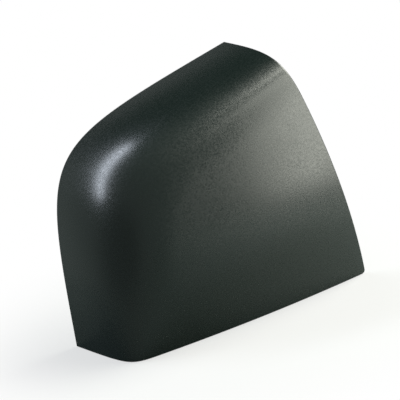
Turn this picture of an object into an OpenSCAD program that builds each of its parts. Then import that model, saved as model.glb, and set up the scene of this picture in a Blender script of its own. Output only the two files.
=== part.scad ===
// Outer cover of a wing mirror, moulded in one piece of black grained plastic.
// A crowned face runs over a soft shoulder into a top wall and an outer side wall.
// The shell is open at the back, along the foot and along the inner side.
// +X points inboard, +Y to the rear and +Z up, and the foot edge stands on z = 0.

/* [Back opening] */
// Width of the back opening along the foot
cover_w = 247; // [215:1:280]
// Height of the inner end of the top edge
cover_h = 214; // [195:1:235]
// How far the inner edge leans outboard from foot to top
inner_lean = 53.5; // [35:0.5:70]
// Height at which the lines of the side and the top would meet
corner_h = 174.5; // [160:0.5:188]
// How far the side line leans inboard up to that height
side_lean = 2.2; // [0:0.1:8]
// Softness of the outline's corner along the side, 0 is sharp
side_softness = 0.12; // [0.05:0.01:0.5]
// Softness of the outline's corner along the top, 0 is sharp
top_softness = 0.33; // [0.1:0.01:0.6]

/* [Face] */
// Depth from the back opening to the crown of the face
crown_depth = 100; // [90:0.5:112]
// Distance of the crown outboard of the inner foot corner
crown_out = 95; // [60:1:150]
// Height of the crown above the foot
crown_up = 103; // [85:1:135]
// Radius of the crown from side to side
crown_side_r = 1170; // [900:10:2500]
// Radius of the crown up and down
crown_up_r = 360; // [300:5:600]
// Radius of the inner foot corner in the front view
foot_corner_r = 3; // [1:0.5:10]

/* [Shoulder] */
// Straight stretch of the walls in front of the back edge
wall_straight = 2; // [1:0.5:8]
// Angle above the foot of the section through the outer top corner, in degrees
corner_turn = 27; // [20:1:38]
// Run of the shoulder across the face at the foot
foot_run = 38; // [25:0.5:55]
// Run of the shoulder across the face at the outer top corner
corner_run = 65; // [50:0.5:75]
// Run of the shoulder across the face at the inner end of the top
top_run = 51; // [38:0.5:65]
// Softness of the shoulder's wall side at the foot, 0 is sharp
foot_wall_softness = 0.18; // [0.1:0.01:0.5]
// Softness of the shoulder's face side at the foot
foot_face_softness = 0.3; // [0.2:0.01:0.5]
// Softness of the shoulder's wall side at the outer top corner
corner_wall_softness = 0.62; // [0.3:0.01:0.7]
// Softness of the shoulder's face side at the outer top corner
corner_face_softness = 0.57; // [0.3:0.01:0.7]
// Softness of the shoulder's wall side at the inner end of the top
top_wall_softness = 0.39; // [0.3:0.01:0.6]
// Softness of the shoulder's face side at the inner end of the top
top_face_softness = 0.47; // [0.3:0.01:0.6]
// Draft of the side wall at the foot, in degrees
side_draft = 5.5; // [2:0.1:8]
// Draft of the top wall, in degrees
top_draft = 0.4; // [0.2:0.1:3]

/* [Skin] */
// Thickness of the moulded wall
wall = 2.5; // [1.8:0.1:3.5]

/* [Locating pegs] */
// Distance of the outer peg from the outer side
outer_peg_in = 69; // [60:1:90]
// Height of the outer peg above the foot
outer_peg_up = 62; // [30:1:90]
// Distance of the inner peg from the inner foot corner, across
inner_peg_in = 92; // [80:1:110]
// Height of the inner peg above the foot
inner_peg_up = 138; // [110:1:150]
// Radius of each peg
peg_r = 3; // [2:0.25:4]
// Free length of each peg behind its boss
peg_len = 10; // [6:1:18]
// Radius of the boss that carries a peg
boss_r = 5; // [4.5:0.25:7]
// Height of that boss off the inside of the face
boss_h = 6; // [4:0.5:10]
// Thickness of the webs that hold a boss
web_t = 1.6; // [1:0.1:2.5]
// Reach of those webs from the peg's axis
web_reach = 9; // [8:0.5:14]
// Step from the end of a boss down to its webs
web_step = 1; // [0.5:0.25:3]

/* [Snap catches] */
// Width of each catch along the edge
catch_w = 12; // [6:1:20]
// How far a catch stands off the inside of the wall
catch_h = 3; // [1.5:0.25:4.5]
// Length of a catch from front to back
catch_len = 9; // [6:0.5:14]
// Length of a catch's lead-in ramp, at its rear
catch_ramp = 5.5; // [3:0.5:6]
// Gap between the back edge and each catch
catch_inset = 6; // [4:0.5:12]

/* [Hidden] */

// Rays fan out from the inner foot corner, and rows run along each ray from the back edge.
rays = 44;
wall_rows = 1;
shoulder_rows = 16;
face_rows = 8;
rows = wall_rows + shoulder_rows + face_rows;
round_fn = 48;

// Ends and corner of the back opening's outline, as x and z from the inner foot corner.
outline_foot = [-cover_w, 0];
outline_corner = [side_lean - cover_w, corner_h];
outline_top = [-inner_lean, cover_h];
fan_angle = atan2(cover_h, inner_lean);
foot_corner_gap = foot_corner_r / tan(fan_angle / 2) - foot_corner_r;

// Places of the pegs, as x and z from the inner foot corner.
peg_places = [[outer_peg_in - cover_w, outer_peg_up], [-inner_peg_in, inner_peg_up]];
// Places of the catches, as shares of the outline from foot to top.
catch_places = [0.07, 0.2, 0.74, 0.93];
// How far a peg's or a catch's root reaches into the wall that carries it.
root_share = 0.6;
root = wall * root_share;
// Step along the outline that gives its direction.
look_ahead = 0.01;

function mix(a, b, share) = a + (b - a) * share;

// A round drawn into the corner between two lines. It leaves both lines with no kink and
// no jump in curvature, and a small softness keeps it close to the corner.
function soft_corner(start, corner, end, start_softness, end_softness, t) =
    let (s = 1 - t)
    pow(s, 4) * start
    + 4 * pow(s, 3) * t * mix(corner, start, start_softness)
    + 6 * s * s * t * t * corner
    + 4 * s * pow(t, 3) * mix(corner, end, end_softness)
    + pow(t, 4) * end;

function outline(share) =
    soft_corner(outline_foot, outline_corner, outline_top, side_softness, top_softness, share);

// Depth of the crowned face in front of the back opening.
function face_depth(p) =
    crown_depth
    - pow(p[0] + crown_out, 2) / (2 * crown_side_r)
    - pow(p[1] - crown_up, 2) / (2 * crown_up_r);

// How fast the face deepens along a direction.
function face_slope(p, along) =
    -(p[0] + crown_out) * along[0] / crown_side_r - (p[1] - crown_up) * along[1] / crown_up_r;

// Value at a section, from its values at the foot, at the outer top corner and at the top's inner end.
function station(turn, at_foot, at_corner, at_top) =
    turn < corner_turn
    ? mix(at_foot, at_corner, sin(90 * turn / corner_turn))
    : mix(at_top, at_corner, cos(90 * (turn - corner_turn) / (fan_angle - corner_turn)));

// Distance from the inner foot corner at which a ray meets that corner's round.
function corner_start(edge) =
    let (
        off_middle = atan2(edge[1], -edge[0]) - fan_angle / 2,
        centre = foot_corner_r / sin(fan_angle / 2)
    )
    centre * cos(off_middle) - sqrt(max(0, pow(foot_corner_r, 2) - pow(centre * sin(off_middle), 2)));

// Outer section along one ray, as points of distance from the inner foot corner and depth.
function outer_section(edge) =
    let (
        reach = norm(edge),
        along = edge / reach,
        turn = atan2(edge[1], -edge[0]),
        draft = tan(station(turn, side_draft, top_draft, top_draft)),
        wall_softness = station(turn, foot_wall_softness, corner_wall_softness, top_wall_softness),
        face_softness = station(turn, foot_face_softness, corner_face_softness, top_face_softness),
        run = station(turn, foot_run, corner_run, top_run),
        face_end = reach - run,
        end = [face_end, face_depth(face_end * along)],
        slope = -face_slope(face_end * along, along),
        corner_depth = (end[1] - slope * run) / (1 - slope * draft),
        corner = [reach - corner_depth * draft, corner_depth],
        start = [reach - wall_straight * draft, wall_straight],
        inner_end = corner_start(edge)
    )
    [
        for (i = [0 : wall_rows - 1]) mix([reach, 0], start, i / wall_rows),
        for (i = [0 : shoulder_rows - 1])
            soft_corner(start, corner, end, wall_softness, face_softness, i / shoulder_rows),
        for (i = [0 : face_rows])
            let (r = mix(face_end, inner_end, i / face_rows))
            [r, face_depth(r * along)]
    ];

// The same section moved in by the wall, with its ends kept on the open edges.
function inner_section(outer) =
    [
        for (i = [0 : rows])
            let (
                before = outer[max(0, i - 1)],
                after = outer[min(rows, i + 1)],
                run = (after - before) / norm(after - before)
            )
            i == 0 ? outer[0] - [wall / run[1], 0]
            : i == rows ? outer[rows] + [0, wall / run[0]]
            : outer[i] + wall * [-run[1], run[0]]
    ];

function in_space(edge, q) = [edge[0] / norm(edge) * q[0], -q[1], edge[1] / norm(edge) * q[0]];

function strip(a, b, c, d) = [[a, c, b], [a, d, c]];

module shell() {
    edges = [for (i = [0 : rays]) outline(i / rays)];
    outer = [for (edge = edges) outer_section(edge)];
    inner = [for (section = outer) inner_section(section)];
    count = (rays + 1) * (rows + 1);
    points = [
        for (i = [0 : rays]) each [for (q = outer[i]) in_space(edges[i], q)],
        for (i = [0 : rays]) each [for (q = inner[i]) in_space(edges[i], q)]
    ];
    at = function (i, j) i * (rows + 1) + j;
    skins = [
        for (i = [0 : rays - 1], j = [0 : rows - 1]) each concat(
            strip(at(i, j), at(i, j + 1), at(i + 1, j + 1), at(i + 1, j)),
            strip(count + at(i, j), count + at(i + 1, j), count + at(i + 1, j + 1), count + at(i, j + 1))
        )
    ];
    back_and_corner = [
        for (i = [0 : rays - 1]) each concat(
            strip(at(i, 0), at(i + 1, 0), count + at(i + 1, 0), count + at(i, 0)),
            strip(at(i, rows), count + at(i, rows), count + at(i + 1, rows), at(i + 1, rows))
        )
    ];
    foot_and_inner_side = [
        for (j = [0 : rows - 1]) each concat(
            strip(at(0, j), count + at(0, j), count + at(0, j + 1), at(0, j + 1)),
            strip(at(rays, j), at(rays, j + 1), count + at(rays, j + 1), count + at(rays, j))
        )
    ];
    polyhedron(points, concat(skins, back_and_corner, foot_and_inner_side));
}

// A round peg behind the face that finds a hole in the mirror housing.
// It stands on a boss, and four webs hold the boss upright.
module peg(place) {
    inside = face_depth(place) - wall;
    translate([place[0], -inside - root, place[1]]) rotate([-90, 0, 0]) {
        cylinder(h = root + boss_h + peg_len, r = peg_r, $fn = round_fn);
        cylinder(h = root + boss_h, r = boss_r, $fn = round_fn);
        for (turn = [0, 90])
            rotate([0, 0, turn])
                translate([-web_reach, -web_t / 2, 0])
                    cube([2 * web_reach, web_t, root + boss_h - web_step]);
    }
}

// A ramped catch on the inside of the wall, with its square side to the front.
module catch(share) {
    edge = outline(share);
    step = outline(share + look_ahead) - outline(share - look_ahead);
    inside = inner_section(outer_section(edge));
    depth = catch_inset + catch_len / 2;
    reach = lookup(depth, [for (i = [0 : wall_rows + shoulder_rows]) [inside[i][1], inside[i][0]]]);
    place = edge * reach / norm(edge);
    profile = [
        [0, root],
        [0, 0],
        [-catch_ramp, -catch_h],
        [-catch_len, -catch_h],
        [-catch_len, root]
    ];
    translate([place[0], -catch_inset, place[1]])
        rotate([0, -atan2(step[1], step[0]), 0])
            translate([-catch_w / 2, 0, 0])
                rotate([90, 0, 90])
                    linear_extrude(catch_w)
                        polygon(profile);
}

module mirror_cover() {
    color("#23282a")
        translate([(cover_w + foot_corner_gap) / 2, crown_depth / 2, 0])
            union() {
                shell();
                for (place = peg_places) peg(place);
                for (share = catch_places) catch(share);
            }
}

mirror_cover();
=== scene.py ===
import math

import bmesh
import bpy
import numpy as np
from mathutils import Matrix, Vector


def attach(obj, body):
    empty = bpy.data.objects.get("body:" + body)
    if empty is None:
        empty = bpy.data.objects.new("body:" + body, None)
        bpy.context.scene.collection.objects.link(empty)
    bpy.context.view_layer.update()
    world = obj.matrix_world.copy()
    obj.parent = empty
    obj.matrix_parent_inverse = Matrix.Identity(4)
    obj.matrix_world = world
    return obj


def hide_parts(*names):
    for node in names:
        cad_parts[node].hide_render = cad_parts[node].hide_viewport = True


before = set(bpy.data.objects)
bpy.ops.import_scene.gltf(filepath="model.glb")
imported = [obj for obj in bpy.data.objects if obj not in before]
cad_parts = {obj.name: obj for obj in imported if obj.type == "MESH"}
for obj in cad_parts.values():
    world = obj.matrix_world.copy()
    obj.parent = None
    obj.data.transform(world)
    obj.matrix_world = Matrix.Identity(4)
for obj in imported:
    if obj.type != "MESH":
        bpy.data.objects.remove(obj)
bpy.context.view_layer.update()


# The shell. One injection moulding in black ABS, 2.5 mm thick. A crowned face runs over a
# soft shoulder into the top wall and the outer side wall, and the back, the foot and the
# inner side are open.

MM = 0.001                # the cover's sizes are in millimetres, the studio's in metres
cover_w = 247.0           # back opening along the foot
cover_h = 214.0           # height of the inner end of the top edge
inner_lean = 53.5         # how far the inner edge leans outboard
corner_h = 174.5          # height at which the lines of side and top would meet
side_lean = 2.2           # how far the side has leaned inboard at that height
side_softness = 0.12      # turn from the side's line into the corner: 0 is tight, 1 soft
top_softness = 0.33       # the same for the top's line
crown_depth = 100.0       # from the back edge to the furthest point of the face
crown_out = 95.0          # how far outboard of the foot's inner corner that point lies
crown_up = 103.0          # how far above the foot it lies
crown_side_r = 1170.0     # radius of the crown from side to side
crown_up_r = 360.0        # radius of the crown up and down
foot_corner_r = 3.0       # round between foot and inner edge
wall_straight = 2.0       # flat start of the wall at the back edge
corner_turn = 27.0        # degrees up from the foot at which the shoulder is widest
wall = 2.5

# Each value changes from the foot, through the outer top corner, to the top's inner end.
shoulder_run = (38.0, 65.0, 51.0)      # how far in from the back opening the face begins
wall_softness = (0.18, 0.62, 0.39)     # turn from the wall into the shoulder
face_softness = (0.3, 0.57, 0.47)      # turn from the face into the shoulder
draft_angle = (5.5, 0.4, 0.4)          # lean of the wall, in degrees

side_rays = 100           # sections through the side wall, from foot to outer top corner
top_rays = 120            # sections through the top wall
split_turn = 35.0         # degrees up from the foot at which the two sets meet
shoulder_rows = 54        # rows of each section, from back edge to face
outline_steps = 4000      # steps along the back edge when its length is measured
past_shoulder = 0.5       # run of the face that sets the last row's direction
edge_round = 0.6          # the mould leaves this radius on every free edge
edge_segments = 3
free_edge_turn = 40.0     # degrees of turn from which an edge counts as a free edge

fan_angle = math.degrees(math.atan2(cover_h, inner_lean))
foot_corner_gap = foot_corner_r / math.tan(math.radians(fan_angle / 2)) - foot_corner_r
part_shift = np.array([(cover_w + foot_corner_gap) / 2, crown_depth / 2, 0.0])


def soft_corner(start, corner, end, start_softness, end_softness, t):
    """A curve of the fourth degree from start to end, turning at the corner."""
    s = 1 - t
    return (s ** 4 * start + 4 * s ** 3 * t * (corner + (start - corner) * start_softness)
            + 6 * s * s * t * t * corner
            + 4 * s * t ** 3 * (corner + (end - corner) * end_softness) + t ** 4 * end)


def outline(share):
    """Points of the back edge as x and z, from the side's foot to the top's inner end."""
    return soft_corner(np.array([-cover_w, 0.0]), np.array([side_lean - cover_w, corner_h]),
                       np.array([-inner_lean, cover_h]), side_softness, top_softness,
                       np.asarray(share, float)[..., None])


def face_depth(x, z):
    return (crown_depth - (x + crown_out) ** 2 / (2 * crown_side_r)
            - (z - crown_up) ** 2 / (2 * crown_up_r))


def face_slope(x, z, ax, az):
    return -(x + crown_out) * ax / crown_side_r - (z - crown_up) * az / crown_up_r


def station(turn, values):
    """A value of the shoulder at a direction from the foot's inner corner."""
    at_foot, at_corner, at_top = values
    low = at_foot + (at_corner - at_foot) * np.sin(np.radians(90 * turn / corner_turn))
    high = at_top + (at_corner - at_top) * np.cos(
        np.radians(90 * (turn - corner_turn) / (fan_angle - corner_turn)))
    return np.where(turn < corner_turn, low, high)


def inward(before, here, after):
    """A section's point moved in by the wall, square to the section."""
    run = after - before
    run = run / np.linalg.norm(run, axis=-1, keepdims=True)
    return here + wall * np.stack([-run[..., 1], run[..., 0]], -1)


def shoulder_sections(edges):
    """Outer and inner points of the wall and shoulder, as reach and depth, ray by ray."""
    reach = np.linalg.norm(edges, axis=1)
    ax, az = edges[:, 0] / reach, edges[:, 1] / reach
    turn = np.degrees(np.arctan2(edges[:, 1], -edges[:, 0]))
    lean = np.tan(np.radians(station(turn, draft_angle)))
    run = station(turn, shoulder_run)
    end_r = reach - run
    end_d = face_depth(end_r * ax, end_r * az)
    slope = -face_slope(end_r * ax, end_r * az, ax, az)
    corner_d = (end_d - slope * run) / (1 - slope * lean)
    corner = np.stack([reach - corner_d * lean, corner_d], 1)[:, None]
    start = np.stack([reach - wall_straight * lean, 0 * reach + wall_straight], 1)[:, None]
    end = np.stack([end_r, end_d], 1)[:, None]
    t = np.linspace(0, 1, shoulder_rows + 1)[None, :, None]
    soft_w = station(turn, wall_softness)[:, None, None]
    soft_f = station(turn, face_softness)[:, None, None]
    bend = soft_corner(start, corner, end, soft_w, soft_f, t)
    rim = np.stack([reach, 0 * reach], 1)[:, None]
    outer = np.concatenate([rim, bend], 1)
    beyond = end_r - past_shoulder
    beyond = np.stack([beyond, face_depth(beyond * ax, beyond * az)], 1)[:, None]
    long = np.concatenate([rim + (rim - bend[:, :1]), outer, beyond], 1)
    inner = inward(long[:, :-2], outer, long[:, 2:])
    first = outer[:, 1] - outer[:, 0]
    first = first / np.linalg.norm(first, axis=1, keepdims=True)
    inner[:, 0] = outer[:, 0] - np.stack([wall / first[:, 1], 0 * reach], 1)
    return outer, inner


def in_space(ax, az, section):
    """Reach and depth of a section's points as x, y and z."""
    return np.stack([ax * section[..., 0], -section[..., 1], az * section[..., 0]], -1)


def face_skins(x, z):
    """Outer and inner points of the crowned face over a field of x and z."""
    reach = np.hypot(x, z)
    ax, az = x / reach, z / reach
    fall = face_slope(x, z, ax, az)
    tip = np.sqrt(1 + fall ** 2)
    outer = np.stack([reach, face_depth(x, z)], -1)
    inner = outer + wall * np.stack([fall / tip, -1 / tip], -1)
    return in_space(ax, az, outer), in_space(ax, az, inner)


# Sections stand at even steps along the back edge, with one where side and top meet.
shares = np.linspace(0, 1, outline_steps + 1)
fine = outline(shares)
walked = np.concatenate([[0], np.cumsum(np.linalg.norm(np.diff(fine, axis=0), axis=1))])
fine_turn = np.degrees(np.arctan2(fine[:, 1], -fine[:, 0]))
split_walk = np.interp(split_turn, fine_turn, walked)
steps = np.concatenate([np.linspace(0, split_walk, side_rays + 1),
                        np.linspace(split_walk, walked[-1], top_rays + 1)[1:]])
edges = outline(np.interp(steps, walked, shares))
edge_dir = edges / np.linalg.norm(edges, axis=1, keepdims=True)
band_outer, band_inner = shoulder_sections(edges)
band_outer = in_space(edge_dir[:, :1], edge_dir[:, 1:], band_outer)
band_inner = in_space(edge_dir[:, :1], edge_dir[:, 1:], band_inner)

# The face fills the field between the shoulder's end, the foot and the inner edge. Its
# fourth corner is the middle of the round between foot and inner edge.
half_fan = math.radians(fan_angle / 2)
arc_centre = foot_corner_r / math.sin(half_fan) * np.array([-math.cos(half_fan), math.sin(half_fan)])
tangent_reach = foot_corner_r / math.tan(half_fan)
line_points, arc_points = 2000, 40
crowding, crowd_reach = 0.9, 8.0       # extra points, and how far from the round they thin out


def edge_to_foot_corner(start, tangent, arc_from, count):
    """Points from the shoulder's end to the middle of the foot corner's round."""
    arc_to = math.atan2(math.sin(half_fan), -math.cos(half_fan)) + math.pi
    swept = (arc_to - arc_from + math.pi) % (2 * math.pi) - math.pi
    angles = arc_from + swept * np.linspace(0, 1, arc_points)
    arc = arc_centre + foot_corner_r * np.stack([np.cos(angles), np.sin(angles)], 1)
    line = start + (tangent - start) * np.linspace(0, 1, line_points)[:, None]
    path = np.concatenate([line, arc[1:]])
    far = np.concatenate([[0], np.cumsum(np.linalg.norm(np.diff(path, axis=0), axis=1))])
    crowd = 1 + crowding * np.exp(-(far[-1] - far) / crowd_reach)
    weight = np.concatenate([[0], np.cumsum((crowd[1:] + crowd[:-1]) / 2 * np.diff(far))])
    where = np.interp(np.linspace(0, weight[-1], count + 1), weight, far)
    return np.stack([np.interp(where, far, path[:, 0]), np.interp(where, far, path[:, 1])], 1)


end_curve = band_outer[:, -1][:, [0, 2]]
inner_line = np.array([-math.cos(math.radians(fan_angle)), math.sin(math.radians(fan_angle))])
foot_line = np.array([-1.0, 0.0])
foot_curve = edge_to_foot_corner(end_curve[0], tangent_reach * foot_line, -math.pi / 2, top_rays)
inner_curve = edge_to_foot_corner(end_curve[-1], tangent_reach * inner_line,
                                  math.radians(90 - fan_angle), side_rays)[::-1]
by_side, by_top = end_curve[:side_rays + 1], end_curve[side_rays:]
u = np.linspace(0, 1, side_rays + 1)[:, None, None]
v = np.linspace(0, 1, top_rays + 1)[None, :, None]
field = ((1 - v) * by_side[:, None] + v * inner_curve[:, None]
         + (1 - u) * foot_curve[None] + u * by_top[None]
         - (1 - u) * (1 - v) * by_side[0] - u * (1 - v) * by_side[-1]
         - (1 - u) * v * foot_curve[-1] - u * v * by_top[-1])
face_outer, face_inner = face_skins(field[..., 0], field[..., 1])

# One closed skin: the outer side, the inner side turned about, and the free edges between.
rays, rows = side_rays + top_rays + 1, shoulder_rows + 2
band_ids = np.arange(rays * rows).reshape(rays, rows)
face_ids = np.full(field.shape[:2], -1)
face_ids[:, 0] = band_ids[:side_rays + 1, -1]
face_ids[-1, :] = band_ids[side_rays:, -1]
new = face_ids < 0
face_ids[new] = rays * rows + np.arange(new.sum())
skin_count = rays * rows + new.sum()
points = np.concatenate([band_outer.reshape(-1, 3), face_outer[new],
                         band_inner.reshape(-1, 3), face_inner[new]]) + part_shift


def quads(ids):
    return np.stack([ids[:-1, :-1], ids[1:, :-1], ids[1:, 1:], ids[:-1, 1:]], -1).reshape(-1, 4)


skin = np.concatenate([quads(band_ids), quads(face_ids)])
loop = np.concatenate([band_ids[:, 0], band_ids[-1, 1:], face_ids[-1:0:-1, -1][1:],
                       face_ids[0, ::-1], band_ids[0, -2:0:-1]])
ahead = np.roll(loop, -1)
rim_quads = np.stack([loop, ahead, ahead + skin_count, loop + skin_count], -1)
all_quads = np.concatenate([skin, skin[:, ::-1] + skin_count, rim_quads])


def mesh_piece(name, verts_mm, faces):
    data = bpy.data.meshes.new(name)
    data.from_pydata([tuple(p * MM) for p in verts_mm], [], [tuple(int(i) for i in f) for f in faces])
    facing_out = bmesh.new()
    facing_out.from_mesh(data)
    bmesh.ops.recalc_face_normals(facing_out, faces=facing_out.faces)
    facing_out.to_mesh(data)
    facing_out.free()
    piece = bpy.data.objects.new(name, data)
    bpy.context.scene.collection.objects.link(piece)
    return piece


def bake_modifiers(piece):
    graph = bpy.context.evaluated_depsgraph_get()
    done = bpy.data.meshes.new_from_object(piece.evaluated_get(graph))
    piece.modifiers.clear()
    piece.data = done


def round_edges(piece, radius_mm, segments):
    """Rounds a piece's edges and returns the modifier for other settings."""
    soften = piece.modifiers.new("edge_round", "BEVEL")
    soften.width = radius_mm * MM
    soften.segments = segments
    return soften


cover = mesh_piece("mirror_cover_shell", points, all_quads)
rim_round = round_edges(cover, edge_round, edge_segments)
rim_round.limit_method = "ANGLE"
rim_round.angle_limit = math.radians(free_edge_turn)
rim_round.use_clamp_overlap = False
bake_modifiers(cover)


# Locating pegs. Two round pegs behind the face, moulded with the shell. Each stands on a
# boss with four webs, and its rounded tip finds a hole in the mirror housing.

peg_places = ((69.0 - cover_w, 62.0), (-92.0, 138.0))
peg_r, peg_len = 3.0, 10.0
peg_tip_round = 0.8
boss_r, boss_h = 5.0, 6.0
boss_round = 0.4          # on the boss's rim, and again where the peg leaves it
web_t, web_reach = 1.6, 9.0
web_step = 1.0            # how far the webs end below the boss
root = 0.6 * wall         # how deep each moulded-on form starts in the wall
around = 48               # sides of a round peg
quarter_points = 5        # points of each small round on it
moulded_on = []           # everything that is joined to the shell
to_round = []             # those of them that are drawn with sharp edges


def turned(name, profile):
    """A closed round solid along +Y from pairs of radius and height."""
    angles = np.linspace(0, 2 * math.pi, around, endpoint=False)
    verts = [np.array([0.0, profile[0][1], 0.0])]
    for r, h in profile:
        verts += [np.array([r * math.cos(a), h, r * math.sin(a)]) for a in angles]
    verts.append(np.array([0.0, profile[-1][1], 0.0]))
    faces = []
    for k in range(len(profile) - 1):
        for i in range(around):
            j = (i + 1) % around
            faces.append((1 + k * around + i, 1 + k * around + j,
                          1 + (k + 1) * around + j, 1 + (k + 1) * around + i))
    last = 1 + (len(profile) - 1) * around
    for i in range(around):
        j = (i + 1) % around
        faces.append((0, 1 + j, 1 + i))
        faces.append((len(verts) - 1, last + i, last + j))
    return mesh_piece(name, verts, faces)


def block(name, low, high):
    corners = [(x, y, z) for x in (low[0], high[0]) for y in (low[1], high[1])
               for z in (low[2], high[2])]
    faces = [(0, 1, 3, 2), (4, 6, 7, 5), (0, 4, 5, 1), (2, 3, 7, 6), (0, 2, 6, 4), (1, 5, 7, 3)]
    return mesh_piece(name, [np.array(c) for c in corners], faces)


def quarter(r, h, size, first, last):
    """A small round on a turned profile, between two directions in degrees."""
    return [(r + size * math.cos(math.radians(a)), h + size * math.sin(math.radians(a)))
            for a in np.linspace(first, last, quarter_points)]


for n, (x, z) in enumerate(peg_places):
    foot_y = -(face_depth(x, z) - wall) - root
    place = np.array([x, foot_y, z]) + part_shift
    top = root + boss_h
    tip = top + peg_len
    profile = [(boss_r, 0.0)]
    profile += quarter(boss_r - boss_round, top - boss_round, boss_round, 0, 90)
    profile += quarter(peg_r + boss_round, top + boss_round, boss_round, -90, -180)
    profile += quarter(peg_r - peg_tip_round, tip - peg_tip_round, peg_tip_round, 0, 90)
    peg = turned("peg_%d" % n, profile)
    peg.data.transform(Matrix.Translation(Vector(place * MM)))
    moulded_on.append(peg)
    for w, (dx, dz) in enumerate(((web_reach, web_t / 2), (web_t / 2, web_reach))):
        web = block("peg_%d_web_%d" % (n, w), place - [dx, 0, dz],
                    place + [dx, top - web_step, dz])
        moulded_on.append(web)
        to_round.append(web)


# Snap catches. Four ramped hooks on the inside of the wall, moulded with it. The ramp
# faces the rear, so the cover pushes on, and the square side holds it on its ledge.

catch_places = (0.07, 0.2, 0.74, 0.93)     # shares of the back edge, from the side's foot
catch_w, catch_h, catch_len = 12.0, 3.0, 9.0
catch_ramp, catch_inset = 5.5, 6.0
look_ahead = 0.01         # share of the back edge over which its direction is taken
detail_round = 0.3        # radius that the mould leaves on webs and catches
detail_segments = 2

for n, share in enumerate(catch_places):
    edge = outline(share)
    step = outline(share + look_ahead) - outline(share - look_ahead)
    heading = math.atan2(step[1], step[0])
    inside = shoulder_sections(edge[None])[1][0]
    depth = catch_inset + catch_len / 2
    reach = np.interp(depth, inside[:, 1], inside[:, 0])
    place = edge * reach / np.linalg.norm(edge)
    profile = ((0, root), (0, 0), (-catch_ramp, -catch_h), (-catch_len, -catch_h), (-catch_len, root))
    verts = [np.array([side * catch_w / 2, y, off]) for side in (-1, 1) for y, off in profile]
    k = len(profile)
    faces = [tuple(range(k)), tuple(range(2 * k - 1, k - 1, -1))]
    faces += [(i, (i + 1) % k, k + (i + 1) % k, k + i) for i in range(k)]
    hook = mesh_piece("catch_%d" % n, verts, faces)
    at = np.array([place[0], -catch_inset, place[1]]) + part_shift
    hook.data.transform(Matrix.Translation(Vector(at * MM)) @ Matrix.Rotation(-heading, 4, "Y"))
    moulded_on.append(hook)
    to_round.append(hook)

# Pegs, webs and catches become one skin with the shell, as they leave the mould.
details = bpy.data.collections.new("moulded_on")
for piece in to_round:
    round_edges(piece, detail_round, detail_segments)
    bake_modifiers(piece)
for piece in moulded_on:
    details.objects.link(piece)
moulding = cover.modifiers.new("moulding", "BOOLEAN")
moulding.operation = "UNION"
moulding.operand_type = "COLLECTION"
moulding.collection = details
moulding.solver = "EXACT"
bake_modifiers(cover)
for piece in moulded_on:
    bpy.data.objects.remove(piece, do_unlink=True)
bpy.data.collections.remove(details)


# The finish. Black ABS moulded in a spark-eroded tool: a dense black body under a satin
# skin of fine pits. Lamps show on it as soft broad sheens that break up into small specks.

# The black is darker where the grain's pits sink in: painted shade in the pits.
painted_shade_in_pits = "#06110e"
black_between = "#0a1714"
abs_ior = 1.54
abs_gloss = 0.7           # specular level: a little more sheen than the IOR alone gives
grain_mm = 1.5            # real pits are about 0.15 mm; drawn coarser so that they show
grain_depth_mm = 0.09
grain_strength = 0.18
flow_mm = 60.0            # slow change in sheen, from the way the plastic filled the mould
satin, satin_dull = 0.26, 0.30
speck = 0.05              # how far the roughness of pits and skin differs from the sheen's
noise_low, noise_high = 0.3, 0.7       # the noise nodes' values lie mostly between these
smooth_turn = 35.0        # degrees of turn up to which the surface shades as one


def linear(hex_colour):
    """An sRGB hex colour as the linear RGBA that a shader socket takes."""
    parts = [int(hex_colour[i:i + 2], 16) / 255 for i in (1, 3, 5)]
    return [c / 12.92 if c <= 0.04045 else ((c + 0.055) / 1.055) ** 2.4 for c in parts] + [1.0]


def add(tree, kind, settings=None, values=None, links=None):
    """Adds a node, sets its settings and values, and links what feeds it."""
    made = tree.nodes.new(kind)
    for name, value in (settings or {}).items():
        setattr(made, name, value)
    for name, value in (values or {}).items():
        made.inputs[name].default_value = value
    for name, socket in (links or {}).items():
        tree.links.new(socket, made.inputs[name])
    return made


def moulded_abs(name):
    material = bpy.data.materials.new(name)
    material.use_nodes = True
    tree = material.node_tree
    tree.nodes.clear()
    spot = add(tree, "ShaderNodeTexCoord")
    pits = add(tree, "ShaderNodeTexNoise", {"noise_dimensions": "3D"},
               {"Scale": 1 / (grain_mm * MM), "Detail": 1.0, "Roughness": 0.5},
               {"Vector": spot.outputs["Object"]})
    flow = add(tree, "ShaderNodeTexNoise", {"noise_dimensions": "3D"},
               {"Scale": 1 / (flow_mm * MM), "Detail": 2.0, "Roughness": 0.5},
               {"Vector": spot.outputs["Object"]})
    sheen = add(tree, "ShaderNodeMapRange", {},
                {"From Min": noise_low, "From Max": noise_high, "To Min": satin, "To Max": satin_dull},
                {"Value": flow.outputs["Fac"]})
    specks = add(tree, "ShaderNodeMapRange", {},
                 {"From Min": noise_low, "From Max": noise_high, "To Min": -speck, "To Max": speck},
                 {"Value": pits.outputs["Fac"]})
    rough = add(tree, "ShaderNodeMath", {"operation": "ADD"}, {},
                {0: sheen.outputs["Result"], 1: specks.outputs["Result"]})
    # Painted shade: a darker black in the low pits of the grain.
    pit_shaded_tone = add(tree, "ShaderNodeMix", {"data_type": "RGBA"},
               {6: linear(painted_shade_in_pits), 7: linear(black_between)}, {0: pits.outputs["Fac"]})
    dents = add(tree, "ShaderNodeBump", {},
                {"Strength": grain_strength, "Distance": grain_depth_mm * MM},
                {"Height": pits.outputs["Fac"]})
    plastic = add(tree, "ShaderNodeBsdfPrincipled", {},
                  {"IOR": abs_ior, "Specular IOR Level": abs_gloss},
                  {"Base Color": pit_shaded_tone.outputs[2], "Roughness": rough.outputs["Value"],
                   "Normal": dents.outputs["Normal"]})
    add(tree, "ShaderNodeOutputMaterial", {}, {}, {"Surface": plastic.outputs["BSDF"]})
    return material


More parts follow.
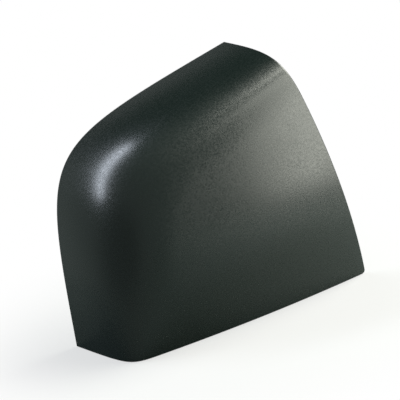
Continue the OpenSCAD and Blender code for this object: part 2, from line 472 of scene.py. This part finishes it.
cover.data.materials.clear()
cover.data.materials.append(moulded_abs("black ABS, spark-eroded grain"))
cover.data.polygons.foreach_set("use_smooth", [True] * len(cover.data.polygons))
cover.data.set_sharp_from_angle(angle=math.radians(smooth_turn))
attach(cover, "root")
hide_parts("mirror_cover")


# The table. A round of matt white paper under the cover. The camera sees it fade to white towards its
# edge. The cover's sheen sees a darker grey instead, which is painted shade, and painted light makes
# that grey lighter on the lamps' side.

table_r = 0.3
table_sides = 96
table_drop = 0.0003       # keeps the paper just clear of the foot edge
paper_seen = "#c8c8c8"
# Grey of the paper for every ray but the camera's: painted shade, made lighter on the inboard side by
# painted light.
paper_painted_shade, paper_painted_light = "#6e7674", "#c2cac8"
painted_light_from, painted_light_to = -0.05, 0.24       # x over which that grey gets lighter
fade_from, fade_to, least_white = 0.12, 0.27, 0.6

table = bpy.data.meshes.new("paper_floor")
turns = np.linspace(0, 2 * math.pi, table_sides, endpoint=False)
table.from_pydata([(table_r * math.cos(a), table_r * math.sin(a), 0.0) for a in turns], [],
                  [tuple(range(table_sides))])
floor = bpy.data.objects.new("paper_floor", table)
floor.location.z = -table_drop
bpy.context.scene.collection.objects.link(floor)
paper = bpy.data.materials.new("matt white paper")
paper.use_nodes = True
tree = paper.node_tree
tree.nodes.clear()
ray = add(tree, "ShaderNodeLightPath")
spot = add(tree, "ShaderNodeTexCoord")
out = add(tree, "ShaderNodeVectorMath", {"operation": "LENGTH"}, {}, {0: spot.outputs["Object"]})
fade = add(tree, "ShaderNodeMapRange", {"interpolation_type": "SMOOTHSTEP"},
           {"From Min": fade_from, "From Max": fade_to, "To Min": least_white, "To Max": 1.0},
           {"Value": out.outputs["Value"]})
white_share = add(tree, "ShaderNodeMath", {"operation": "MULTIPLY"}, {},
                  {0: ray.outputs["Is Camera Ray"], 1: fade.outputs["Result"]})
apart = add(tree, "ShaderNodeSeparateXYZ", {}, {}, {"Vector": spot.outputs["Object"]})
# Painted light: the paper's grey gets lighter towards the lamps' side.
inboard = add(tree, "ShaderNodeMapRange", {}, {"From Min": painted_light_from, "From Max": painted_light_to},
              {"Value": apart.outputs["X"]})
grey = add(tree, "ShaderNodeMix", {"data_type": "RGBA"},
           {6: linear(paper_painted_shade), 7: linear(paper_painted_light)}, {0: inboard.outputs["Result"]})
shade = add(tree, "ShaderNodeMix", {"data_type": "RGBA"}, {7: linear(paper_seen)},
            {0: ray.outputs["Is Camera Ray"], 6: grey.outputs[2]})
lit_paper = add(tree, "ShaderNodeBsdfDiffuse", {}, {}, {"Color": shade.outputs[2]})
glow = add(tree, "ShaderNodeEmission", {}, {"Color": linear("#ffffff"), "Strength": 1.0})
blend = add(tree, "ShaderNodeMixShader", {}, {},
            {0: white_share.outputs["Value"], 1: lit_paper.outputs["BSDF"],
             2: glow.outputs["Emission"]})
add(tree, "ShaderNodeOutputMaterial", {}, {}, {"Surface": blend.outputs["Shader"]})
table.materials.append(paper)


# The room. The camera sees white all round. Glossy surfaces and glass see that white low
# behind the cover, and a grey room with two dimmer sides elsewhere.

room_grey = "#ecfdf7"
room_level = 0.30
low_rear = (0.2, 0.98, -0.05)
rear_edge, rear_full = 0.87, 0.97      # cosines between which the white behind sets in
# Direction, cosines between which it gets dimmer, and the share of light that is left:
# high behind on the inboard side, and low in front on the outboard side.
dim_sides = (((0.45, 0.70, 0.56), 0.5, 0.95, 0.2), ((-0.88, -0.2, -0.45), 0.6, 0.95, 0.6))

world = bpy.data.worlds.new("studio_room")
bpy.context.scene.world = world
world.use_nodes = True
tree = world.node_tree
tree.nodes.clear()
ray = add(tree, "ShaderNodeLightPath")
facing = add(tree, "ShaderNodeTexCoord")
rearward = add(tree, "ShaderNodeVectorMath", {"operation": "DOT_PRODUCT"},
               {1: low_rear}, {0: facing.outputs["Generated"]})
behind = add(tree, "ShaderNodeMapRange", {"interpolation_type": "SMOOTHSTEP"},
             {"From Min": rear_edge, "From Max": rear_full}, {"Value": rearward.outputs["Value"]})
shiny = add(tree, "ShaderNodeMath", {"operation": "MAXIMUM"}, {},
            {0: ray.outputs["Is Glossy Ray"], 1: ray.outputs["Is Transmission Ray"]})
shiny_behind = add(tree, "ShaderNodeMath", {"operation": "MULTIPLY"}, {},
                   {0: shiny.outputs["Value"], 1: behind.outputs["Result"]})
shows_white = add(tree, "ShaderNodeMath", {"operation": "MAXIMUM"}, {},
                  {0: ray.outputs["Is Camera Ray"], 1: shiny_behind.outputs["Value"]})
level = add(tree, "ShaderNodeValue")
level.outputs["Value"].default_value = room_level
level = level.outputs["Value"]
for way, dim_edge, dim_full, left in dim_sides:
    toward = add(tree, "ShaderNodeVectorMath", {"operation": "DOT_PRODUCT"}, {1: way},
                 {0: facing.outputs["Generated"]})
    dim = add(tree, "ShaderNodeMapRange", {"interpolation_type": "SMOOTHSTEP"},
              {"From Min": dim_edge, "From Max": dim_full, "To Min": 1.0, "To Max": left},
              {"Value": toward.outputs["Value"]})
    level = add(tree, "ShaderNodeMath", {"operation": "MULTIPLY"}, {},
                {0: level, 1: dim.outputs["Result"]}).outputs["Value"]
room = add(tree, "ShaderNodeBackground", {}, {"Color": linear(room_grey)}, {"Strength": level})
backdrop = add(tree, "ShaderNodeBackground", {}, {"Color": linear("#ffffff"), "Strength": 1.0})
pick = add(tree, "ShaderNodeMixShader", {}, {},
           {0: shows_white.outputs["Value"], 1: room.outputs["Background"],
            2: backdrop.outputs["Background"]})
add(tree, "ShaderNodeOutputWorld", {}, {}, {"Surface": pick.outputs["Shader"]})


# The lamps. A leaning strip behind the outer top corner draws the bright arc there. A tall
# box in front and a square one above it on the inboard side give the face its broad sheen.

aim = Vector((0.0, 0.0, 0.11))         # middle of the cover


def soft_box(name, azimuth, elevation, distance, width, height, roll, radiance, colour):
    """A lamp square to the cover. Azimuth 0 is in front of it and 90 is inboard."""
    lamp = bpy.data.lights.new(name, "AREA")
    lamp.shape = "RECTANGLE"
    lamp.size = width
    lamp.size_y = height
    lamp.energy = radiance * math.pi * width * height
    lamp.color = linear(colour)[:3]
    box = bpy.data.objects.new(name, lamp)
    a, e, r = math.radians(azimuth), math.radians(elevation), math.radians(roll)
    out = Vector((math.cos(e) * math.sin(a), -math.cos(e) * math.cos(a), math.sin(e)))
    across = Vector((math.cos(a), math.sin(a), 0.0))
    rise = out.cross(across)
    if rise.z < 0:
        rise = -rise
    across, rise = (math.cos(r) * across + math.sin(r) * rise,
                    math.cos(r) * rise - math.sin(r) * across)
    back = across.cross(rise)
    if back.dot(out) < 0:
        across, back = -across, -back
    box.matrix_world = (Matrix.Translation(aim + out * distance)
                        @ Matrix((across, rise, back)).transposed().to_4x4())
    box.visible_camera = False
    bpy.context.scene.collection.objects.link(box)


soft_box("rear_strip", azimuth=-126.5, elevation=42.0, distance=1.5, width=0.26, height=1.65,
         roll=31.0, radiance=11.0, colour="#eaf2ff")
soft_box("front_soft_box", azimuth=42.5, elevation=15.0, distance=1.6, width=0.66, height=2.10,
         roll=0.0, radiance=5.7, colour="#fefff3")
soft_box("top_soft_box", azimuth=75.0, elevation=48.5, distance=1.6, width=0.90, height=0.90,
         roll=0.0, radiance=13.5, colour="#fefff3")


# The camera. It stands about 1.5 m away, 30 degrees outboard of the face's middle and
# 18 degrees above it, and is rolled by 10 degrees, as in the photograph.

camera_place = (-0.76314, -1.30627, 0.59433)
azimuth, elevation, roll = (math.radians(v) for v in (30.0, 18.0, 10.0))

camera = bpy.data.cameras.new("camera")
camera.sensor_width = 36.0
camera.lens = 171.45
camera.clip_start = 0.1
camera.clip_end = 30.0
stand = bpy.data.objects.new("camera", camera)
bpy.context.scene.collection.objects.link(stand)
bpy.context.scene.camera = stand
look = Vector((math.sin(azimuth) * math.cos(elevation), math.cos(azimuth) * math.cos(elevation),
               -math.sin(elevation)))
level = Vector((math.cos(azimuth), -math.sin(azimuth), 0.0))
upright = level.cross(look)
right = math.cos(roll) * level - math.sin(roll) * upright
up = math.sin(roll) * level + math.cos(roll) * upright
stand.matrix_world = (Matrix.Translation(camera_place)
                      @ Matrix((right, up, -look)).transposed().to_4x4())

bpy.context.scene.view_settings.view_transform = "Standard"
